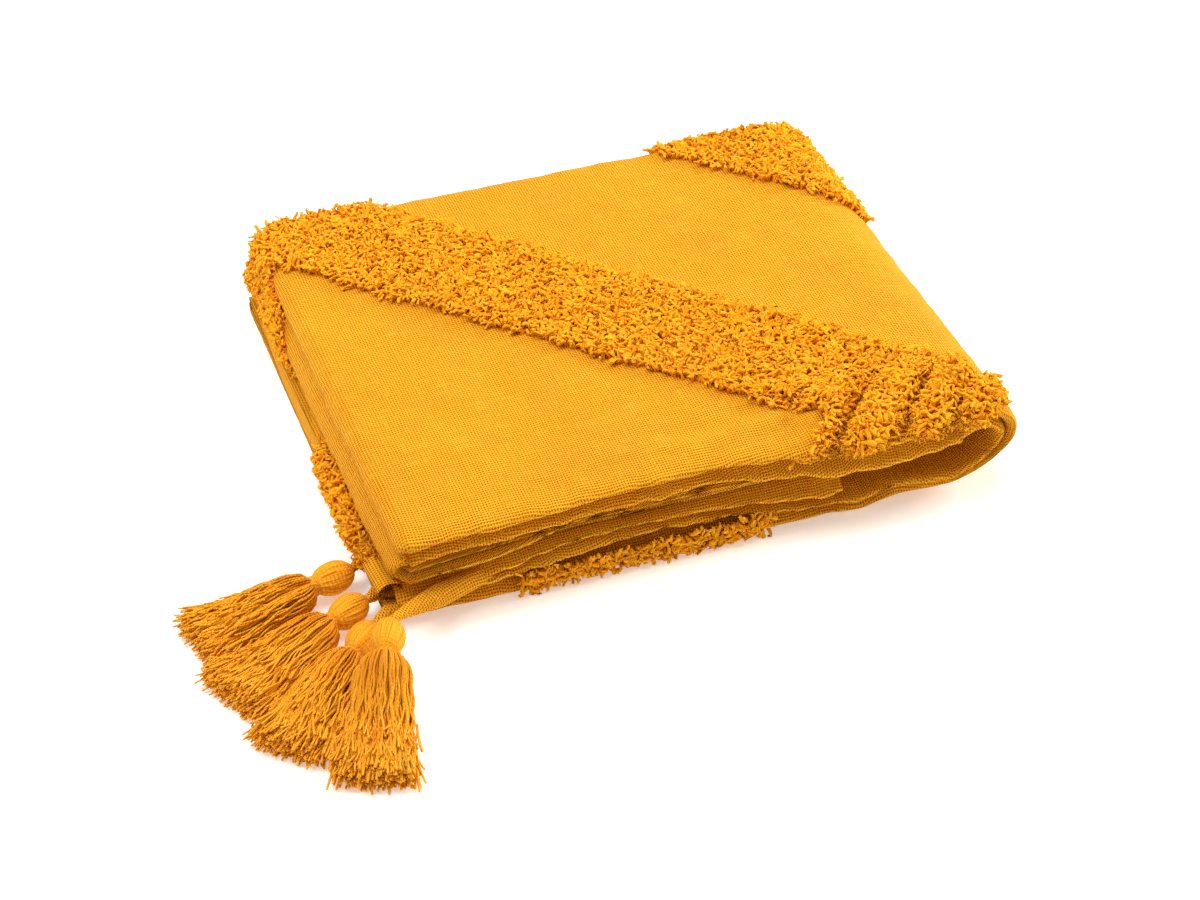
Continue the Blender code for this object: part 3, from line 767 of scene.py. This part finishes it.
def pile_tree():
    w = Weaver("cut_pile", PILE)
    spread = w.make("GeometryNodeDistributePointsOnFaces", {"distribute_method": "POISSON"},
                    {"Mesh": w.given("Geometry"), "Distance Min": w.given("Spacing"),
                     "Density Max": 600000.0, "Seed": w.given("Seed")})
    normal = Thread(w, spread.socket.node.outputs["Normal"])
    # one tuft: a short bent yarn, a little thinner at the root
    rod = w.make("GeometryNodeCurvePrimitiveLine", {"mode": "POINTS"},
                 {"Start": (0, 0, -0.0008), "End": (0, 0, 1.0)})
    rod = w.make("GeometryNodeResampleCurve", {"mode": "COUNT"}, {"Curve": rod, "Count": 5})
    part = w.make("GeometryNodeSplineParameter")
    bend, tall = part.by("POWER", 2.0) * 0.78, part - part.by("POWER", 3.0) * 0.40
    bent = w.make("ShaderNodeCombineXYZ", None, {0: bend, 1: 0.0, 2: tall})
    rod = w.make("GeometryNodeSetPosition", None, {
        "Geometry": rod, "Position": w.vector("SCALE", bent, w.given("Length"), (0, 3))})
    wide = (part * 2.7).by("SINE") * 0.50 + 0.60
    rod = w.make("GeometryNodeSetCurveRadius", None, {"Curve": rod, "Radius": wide})
    tuft = w.yarn(rod)
    # stand the tufts on the cloth, each with its own lean and size, leaning in bunches
    own = w.random((-1, -1, -0.35), (1, 1, 0.5), w.given("Seed"), "FLOAT_VECTOR")
    bunch = w.vector("SCALE", w.wander(120.0, 1.5), 4.6, (0, 3))
    lean = w.vector("SCALE", w.vector("ADD", own, bunch), w.given("Lean"), (0, 3))
    stand = w.vector("ADD", normal, lean)
    spin = w.random((0, 0, 0), (0, 0, tau), 5, "FLOAT_VECTOR")
    spin = w.make("FunctionNodeEulerToRotation", None, {0: spin})
    turn = w.make("FunctionNodeAlignRotationToVector", {"axis": "Z"},
                  {"Rotation": spin, "Vector": stand})
    size = w.random(0.76, 1.14, 9) * w.carried("tall")
    tufts = w.make("GeometryNodeInstanceOnPoints", None,
                   {"Points": spread, "Instance": tuft, "Rotation": turn, "Scale": size})
    tufts = w.store(tufts, "tint", w.random(0.0, 1.0, 13), "INSTANCE")
    tufts = w.make("GeometryNodeRealizeInstances", None, {"Geometry": tufts})
    # every yarn wanders a little on its own way up
    kink = w.vector("SCALE", w.wander(190.0, 1.0), w.carried("along") * 0.0070, (0, 3))
    tufts = w.make("GeometryNodeSetPosition", None, {"Geometry": tufts, "Offset": kink})
    # nothing goes below the floor
    place = w.make("GeometryNodeInputPosition")
    place = w.vector("MAXIMUM", place, (-9.0, -9.0, 0.0005))
    tufts = w.make("GeometryNodeSetPosition", None, {"Geometry": tufts, "Position": place})
    w.finish(tufts)
    return w


def grown(ob, weaver, **inputs):
    """The object with this tree's yarns in its place, as a plain mesh."""
    growth = ob.modifiers.new("yarn", "NODES")
    growth.node_group = weaver.tree
    for label, value in inputs.items():
        growth[weaver.ids[label]] = value
    return made_plain(ob)


def lay_pile(base, weaver, finish, seed, node, body):
    """Four-sided yarns over the base, in place of the CAD node."""
    piece = grown(base, weaver, Sides=4, Seed=seed, Finish=finish, **PILE)
    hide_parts(node)
    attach(piece, body)


def bunching(grid):
    """Where the cloth over the front edge is bunched, and how far each point is from the slanting
    creases between its lobes: 0 in a crease, 1 on top of a lobe."""
    x, y, z = grid[..., 0], grid[..., 1], grid[..., 2]
    aslant = x - 0.92 * (y + 0.1577)
    turn = np.interp(aslant, (0.029, 0.0713, 0.113, 0.143, 0.175, 0.207), (-1, 0, 1, 2, 3, 4))
    lobe = np.abs(np.sin(pi * turn))
    drop = smooth_share((-0.106 - y) / 0.014) * smooth_share((x - 0.045) / 0.02)
    drop *= smooth_share((0.186 - x) / 0.012) * smooth_share((z - 0.0515) / 0.003)
    return lobe, drop


def patch(name, grid, uv, keep, lift):
    """The part of the cloth under a pile, lifted to the cloth's outer face; where the pile goes
    over the front edge it bulges in lobes with slanting creases between them."""
    y, z = grid[..., 1], grid[..., 2]
    lobe, drop = bunching(grid)
    rim = smooth_share((-0.150 - y) / 0.004) * smooth_share((0.0575 - z) / 0.004)
    tall = (1 + drop * (0.9 * lobe - 0.72)) * (1 - 0.45 * rim)
    lift = lift + 0.0040 * (lobe - 0.50) * drop * (1 - rim)
    return mesh_from_grid(name, pushed(grid, lift), uv, keep, tall)


def upright_patch(name, node, side):
    """An upright patch of cloth behind the pile at the front, side -1, or at the back, side 1,
    filling that side of the CAD node's box."""
    low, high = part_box(node)
    left_free, right_free = 0.003, (0.016 if side < 0 else 0.003)
    x = np.linspace(low[0] + left_free, high[0] - right_free, 24)
    z = np.linspace(low[2] + 0.002, high[2] - 0.002, 9)
    grid = np.zeros((24, 9, 3))
    grid[..., 0] = x[:, None]
    grid[..., 1] = low[1] if side > 0 else high[1]
    grid[..., 2] = z[None, :]
    ob = mesh_from_grid(name, grid)
    shape = bmesh.new()
    shape.from_mesh(ob.data)
    shape.normal_update()
    if sum(f.normal.y for f in shape.faces) * side < 0:
        bmesh.ops.reverse_faces(shape, faces=shape.faces)
    shape.to_mesh(ob.data)
    shape.free()
    return ob


# ---- tassels ----

def strand_tree():
    w = Weaver("tassel_yarn", {"Radius": 0.0009})
    curve = w.store(w.given("Geometry"), "tint", w.random(0.0, 1.0, w.given("Seed")), "CURVE")
    part = w.make("GeometryNodeSplineParameter")
    fray = 0.95 + part.by("POWER", 9.0) * 0.70
    curve = w.make("GeometryNodeSetCurveRadius", None, {"Curve": curve, "Radius": fray})
    w.finish(w.yarn(curve))
    return w


def strands(name, paths, weaver, finish, seed, radius, sides):
    data = bpy.data.curves.new(name, "CURVE")
    data.dimensions = "3D"
    for path in paths:
        spline = data.splines.new("POLY")
        spline.points.add(len(path) - 1)
        flat = np.concatenate((path, np.ones((len(path), 1))), axis=1)
        spline.points.foreach_set("co", flat.ravel().astype(np.float32))
    return grown(placed(name, data), weaver, Radius=radius, Sides=sides, Seed=seed, Finish=finish)


# where each tassel hangs from its corner, and its heading in degrees
TASSELS = {1: ((-0.2000, -0.1120, 0.0105), 194), 2: ((-0.2002, -0.1385, 0.0105), 207),
           3: ((-0.2010, -0.1600, 0.0105), 226), 4: ((-0.1960, -0.1755, 0.0250), 248)}
# distances along the heading, and radii
HEAD_AT, HEAD_LONG, HEAD_WIDE = 0.0125, 0.0124, 0.0086
NECK_AT, NECK_LONG, NECK = 0.0255, 0.0040, 0.0048
SKIRT_FROM, SKIRT_LONG = 0.0252, 0.0690
CORD_HALF = 0.0035
# half the skirt's width and height, by the share of its length
HALF_WIDTH = ([0, 0.06, 0.16, 0.5, 0.8, 1.0], [0.0046, 0.0110, 0.0150, 0.0175, 0.0200, 0.0220])
HALF_HEIGHT = ([0, 0.06, 0.16, 0.5, 0.8, 1.0], [0.0046, 0.0085, 0.0100, 0.0092, 0.0076, 0.0060])
SKIRT_YARNS, BRUSH_HAIRS, HEAD_LOOPS, CORE_LOOPS, NECK_TURNS = 420, 3, 60, 30, 4
YARN_FLOOR = 0.0010          # lowest middle of a yarn


def lying_height(number, points):
    """How high the skirts already laid stand at these points."""
    height = np.zeros(len(points))
    for other in range(1, number):
        pivot, heading = TASSELS[other]
        forward = np.array((cos(radians(heading)), sin(radians(heading))))
        offset = points[:, :2] - np.array(pivot[:2])
        t = (offset @ forward - SKIRT_FROM) / SKIRT_LONG
        across = offset @ np.array((-forward[1], forward[0]))
        u = across / np.interp(t, *HALF_WIDTH)
        crown = 1.5 * np.interp(t, *HALF_HEIGHT) * np.clip(1 - u * u, 0, 1)
        ends = smooth_share((t + 0.04) / 0.14) * smooth_share((1.06 - t) / 0.18)
        height = np.maximum(height, crown * ends)
    return height


def skirt_paths(number, at, chance):
    """Loose yarns that fan out, settle on the floor and end in small brushes."""
    lift = TASSELS[number][0][2]
    paths = []
    for _ in range(SKIRT_YARNS):
        radius, angle = sqrt(chance.uniform(0.02, 1.0)), chance.uniform(0, tau)
        reach = SKIRT_LONG * chance.uniform(0.90, 1.03)
        if radius > 0.6 and sin(angle) > 0 and chance.uniform() < 0.45:
            reach = SKIRT_LONG * chance.uniform(0.66, 0.95)
        t = np.linspace(0, 1, 18) * reach / SKIRT_LONG
        drift = chance.normal(0, 0.13)
        wide = np.interp(t, *HALF_WIDTH) * (radius * cos(angle) + drift * t * t)
        tall = np.interp(t, *HALF_HEIGHT) * radius * sin(angle)
        middle = -smooth_share(t / 0.62) * (lift - np.interp(t, *HALF_HEIGHT) - 0.0004)
        sway = 0.0017 * np.sin(tau * (t * chance.uniform(2, 5.5) + chance.uniform(0, 1))) * t
        bob = 0.0014 * np.sin(tau * (t * chance.uniform(2, 6) + chance.uniform(0, 1))) * t
        rise = np.maximum(middle + tall + bob, YARN_FLOOR - lift)
        path = np.stack([at(SKIRT_FROM + SKIRT_LONG * a, b + c, d)
                         for a, b, c, d in zip(t, wide, sway, rise)])
        path[:, 2] += lying_height(number, path) * smooth_share((0.030 - path[:, 2]) / 0.012)
        paths.append(path)
        end = path[-1] - path[-4]
        for _ in range(BRUSH_HAIRS):
            spread = np.linspace(0, 1, 6)[:, None] ** 1.8 * chance.normal(0, 0.0021, 3)
            hair = path[-1] + end * np.linspace(-1.5, 0.22, 6)[:, None] + spread
            hair[:, 2] = np.maximum(hair[:, 2], YARN_FLOOR)
            paths.append(hair)
    return paths


def head_paths(at, chance):
    """Yarns looped over the cord and gathered at the neck, over a round core."""
    paths = []
    for i in range(HEAD_LOOPS):
        turn = tau * i / HEAD_LOOPS + chance.uniform(-0.05, 0.05)
        angle = np.linspace(0.16, pi - 0.42, 12)
        wobble = 1 + 0.035 * np.sin(angle * 2 + chance.uniform(0, tau))
        run = np.append(HEAD_AT - HEAD_LONG * np.cos(angle), NECK_AT - 0.0005)
        ring = np.append(HEAD_WIDE * np.sin(angle) * wobble, NECK - 0.0004)
        spin = turn + 0.5 * (angle - 0.16) / pi
        spin = np.append(spin, spin[-1])
        paths.append(np.stack([at(r, q * cos(s), q * sin(s)) for r, q, s in zip(run, ring, spin)]))
    core_long, core_wide = HEAD_LONG - 0.001, HEAD_WIDE - 0.0011
    for i in range(CORE_LOOPS):
        turn = tau * i / CORE_LOOPS + 0.2
        paths.append(np.stack([at(HEAD_AT - core_long * cos(a), core_wide * sin(a) * cos(turn),
                                  core_wide * sin(a) * sin(turn))
                               for a in np.linspace(0.05, pi - 0.3, 14)]))
    return paths


def neck_paths(at):
    """A few turns of yarn round the neck."""
    whole, radius = tau * NECK_TURNS, NECK + 0.0007
    return [np.stack([at(NECK_AT - NECK_LONG / 2 + NECK_LONG * s / whole, radius * cos(s),
                         radius * sin(s)) for s in np.linspace(0, whole, 73)])]


def cord_paths(at):
    """Two plies twisted together."""
    radius, twist = 0.0008, 1500
    return [np.stack([at(r, radius * cos(r * twist + ply), radius * sin(r * twist + ply))
                      for r in np.linspace(-CORD_HALF, CORD_HALF, 14)]) for ply in (0, pi)]


def tassel(number, weaver, finish):
    pivot, heading = TASSELS[number]
    pivot = np.array(pivot)
    forward = np.array((cos(radians(heading)), sin(radians(heading)), 0.0))
    side = np.array((-forward[1], forward[0], 0.0))
    up = np.array((0.0, 0.0, 1.0))
    chance = np.random.default_rng(70 + number)

    def at(run, across, rise):
        return pivot + forward * run + side * across + up * rise

    for name, node, paths, seed, radius, sides in (
            ("skirt_yarns", "skirt", skirt_paths(number, at, chance), number, 0.00064, 4),
            ("head_loops", "head", head_paths(at, chance), 10 + number, 0.00078, 5),
            ("neck_binding", "neck_binding", neck_paths(at), 20 + number, 0.00060, 6),
            ("hanging_cord", "hanging_cord", cord_paths(at), 30 + number, 0.00095, 6)):
        piece = strands(f"{name}_{number}", paths, weaver, finish, seed, radius, sides)
        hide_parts(f"tassel_{number}_{node}")
        if node == "skirt":
            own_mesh(piece)
        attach(piece, f"tassel_{number}")


# ---- rolled corners ----

# each roll's path and its widths along it, in millimetres
ROLL_PATHS = {
    "corner_roll_1": ([(-184, -92, 15), (-190, -101, 14), (-195, -107.5, 12), (-200, -112, 10.4)],
                      (6, 5, 3.0, 1.4)),
    "corner_roll_2": ([(-180, 153, 13.5), (-180.5, 90, 13.5), (-181.5, 30, 14),
                       (-184.5, -20, 17.5), (-188, -110, 19.5), (-187.5, -147, 20)],
                      (1.5, 9.5, 11, 11, 10.8, 10.2, 9.2, 8.2, 7.4, 7.2, 7.0, 6.2)),
    "corner_tip_2": ([(-182, -126, 12), (-189, -131, 9.5), (-195, -135.5, 9),
                      (-200.2, -138.5, 10.2)], (6.5, 5.5, 3.4, 1.6)),
    "corner_roll_3": ([(-170, -140, 8), (-185, -147, 8.5), (-194, -154, 10), (-201, -160, 10.5)],
                      (7, 6, 4, 2)),
    "corner_roll_4": ([(-112, -132, 16), (-135, -146, 16.5), (-160, -156, 17.5),
                       (-180, -165, 21), (-190, -171, 24), (-196, -175.5, 25)],
                      (5, 6.2, 7.2, 7, 4.0, 1.2))}
ROLL_STEPS, ROLL_TURN_STEPS = 36, 34
ROLL_CLOTH = 1.5 * MM


def rolled(path, widths):
    """Points of cloth rolled into a tapering tube along a path, in millimetres."""
    p = through(path, ROLL_STEPS)
    run = np.linspace(0, 1, ROLL_STEPS)
    widths = np.interp(run, np.linspace(0, 1, len(widths)), widths) * MM
    along = np.gradient(p, axis=0)
    along /= np.linalg.norm(along, axis=1, keepdims=True)
    side = np.cross(along, (0, 0, 1.0))
    side /= np.linalg.norm(side, axis=1, keepdims=True)
    rise = np.cross(side, along)
    grid = np.zeros((ROLL_STEPS, ROLL_TURN_STEPS, 3))
    for j, a in enumerate(np.linspace(-0.35 * pi, 2.15 * pi, ROLL_TURN_STEPS)):
        r = (widths * (1 - 0.20 * j / (ROLL_TURN_STEPS - 1)))[:, None]
        r = r * (1 + 0.07 * np.sin(2 * a + 8 * run) + 0.04 * np.sin(5 * a - 5 * run))[:, None]
        grid[:, j] = p + side * cos(a) * r + rise * sin(a) * r * 0.86
    grid[..., 2] = np.maximum(grid[..., 2], 0.0011)
    return grid


# ---- making ----

set_camera()
light_room()
lay_floor()
weave = ground_cloth_finish()
pile_yarn = yarn_finish("cut_pile", PILE_COLOURS, 0.0024)
tassel_yarn = yarn_finish("tassel_yarn", TASSEL_COLOURS, 0.0022)

strip, cloth_grid, marks = lay_long_strip()
cloth_uv, cloth_outwards = lengths(cloth_grid), normals_of(cloth_grid)
sheets = {}
# the weave runs square to the folds at one station halfway along each leaf
for name, mark, square in (("lower_leaf_cloth", "lower", 40),
                           ("closed_fold_cloth", "fold", marks["fold"][1] + 38),
                           ("upper_leaf_cloth", "upper", marks["fold"][1] + 38)):
    part = slice(*marks[mark])
    uv = cloth_uv[part].copy()
    uv[..., 0] -= cloth_uv[square, :, 0]
    sheets[name] = sheet_of_cloth(name, cloth_grid[part], weave, uv=uv,
                                  outwards=cloth_outwards[part])
sheets["inner_roll_cloth"] = sheet_of_cloth("inner_roll_cloth", lay_inner_roll(), weave)

# which cells of the cloth's outer face carry pile
centre = (cloth_grid[:-1, :-1] + cloth_grid[1:, 1:]) / 2
cx, cy, cz = centre[..., 0], centre[..., 1], centre[..., 2]
station = np.arange(len(cloth_grid) - 1)[:, None] + 0 * cx
outer = ((strip.sheet_of[:-1] <= 1.5) & (strip.sheet_of[1:] <= 1.5))[None, :]
raised = outer & (station >= marks["fold"][0]) & (cz > 0.0445)
slant = cx + cy                                # the bands run at 45 degrees
band = raised & (cx < 0.184) & (slant < BAND[1]) & (cx > -0.183) & (cy < BACK - 0.003)
spread_left = 0.077 + (cy + 0.128) * 0.55 - np.clip(0.0580 - cz, 0, 1) * 2.6
band &= np.where(cy > -0.128, slant > BAND[0], cx > spread_left)
band &= (cy > -0.146) | ((cx < 0.178) & (cz > 0.0520))
corner = raised & (slant > CORNER_FROM)
left_side = outer & (station >= marks["turn"] - 3) & (cx < -0.174) & (cz > 0.031)
left_side &= (cy > 0.125 - (0.061 - cz) * 2.7) & (cy < 0.150)
behind, left = slant > sum(BAND) / 2, cx < 0.02      # the band is parted in four

weaver = pile_tree()
for name, node, keep, seed in (
        ("diagonal_pile_back_left", "pile_diagonal_band", band & behind & left, 3),
        ("diagonal_pile_back_right", "pile_diagonal_band", band & behind & ~left, 4),
        ("diagonal_pile_left", "pile_diagonal_band", band & ~behind & left, 5),
        ("diagonal_pile_front_drop", "pile_front_drop", band & ~behind & ~left, 11),
        ("back_corner_pile", "pile_back_corner", corner, 6),
        ("left_side_pile", "pile_left_upper", left_side, 7)):
    base = patch(name, cloth_grid, cloth_uv, keep, CLOTH / 2)
    lay_pile(base, weaver, pile_yarn, seed, node, "upper_leaf")

# corners of the throw, rolled up where the tassels hang from them
roll_grids = {name: rolled(*made) for name, made in ROLL_PATHS.items()}
rolls = [sheet_of_cloth(name, grid, weave, ROLL_CLOTH) for name, grid in roll_grids.items()]

for name, node, side, body, seed in (
        ("back_drop_pile", "pile_back_drop", 1, "upper_leaf", 8),
        ("bottom_front_pile", "pile_bottom_front", -1, "lower_leaf", 10)):
    base = upright_patch(name, node, side)
    lay_pile(base, weaver, pile_yarn, seed, node, body)

# pile on the outer turns of the rolled left edge, shorter beside the first tassel
long_roll = roll_grids["corner_roll_2"]
mid = (long_roll[:-1, :-1] + long_roll[1:, 1:]) / 2
around_left = mid[..., 0] < -0.1855 - (0.0165 - mid[..., 2]) * 0.3
around_left &= np.abs(mid[..., 1] + 0.073) < 0.052
around_left &= np.arange(ROLL_TURN_STEPS - 1)[None, :] < 24
beside_tassel = np.exp(-((long_roll[..., 1] + 0.113) / 0.012) ** 2)
base = mesh_from_grid("left_lower_pile", pushed(long_roll, 0.0008),
                      keep=around_left, tall=1 - 0.6 * beside_tassel, uv=lengths(long_roll))
lay_pile(base, weaver, pile_yarn, 9, "pile_left_lower", "lower_leaf")

# cloth rides on the leaves; the closed fold's cloth stays on no body, its place baked into its
# mesh
for name, body, nodes in (
        ("upper_leaf_cloth", "upper_leaf",
         ("cloth_top_layer", "cloth_second_layer", "cloth_inner_roll_upper")),
        ("lower_leaf_cloth", "lower_leaf", ("cloth_fourth_layer", "cloth_bottom_layer")),
        ("inner_roll_cloth", "lower_leaf", ("cloth_inner_roll_lower",))):
    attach(sheets[name], body)
    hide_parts(*nodes)
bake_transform(sheets["closed_fold_cloth"])
for piece in rolls:
    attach(piece, "lower_leaf")

strand_weaver = strand_tree()
for number in TASSELS:
    tassel(number, strand_weaver, tassel_yarn)

# the size each was cut to before it was folded, as its share of one throw
flats = {"upper_leaf_cloth": (1.27, 0.61), "closed_fold_cloth": (1.27, 0.10),
         "lower_leaf_cloth": (1.27, 0.34), "inner_roll_cloth": (1.27, 0.27)}
for name, flat in flats.items():
    extra = rolls if name == "lower_leaf_cloth" else ()
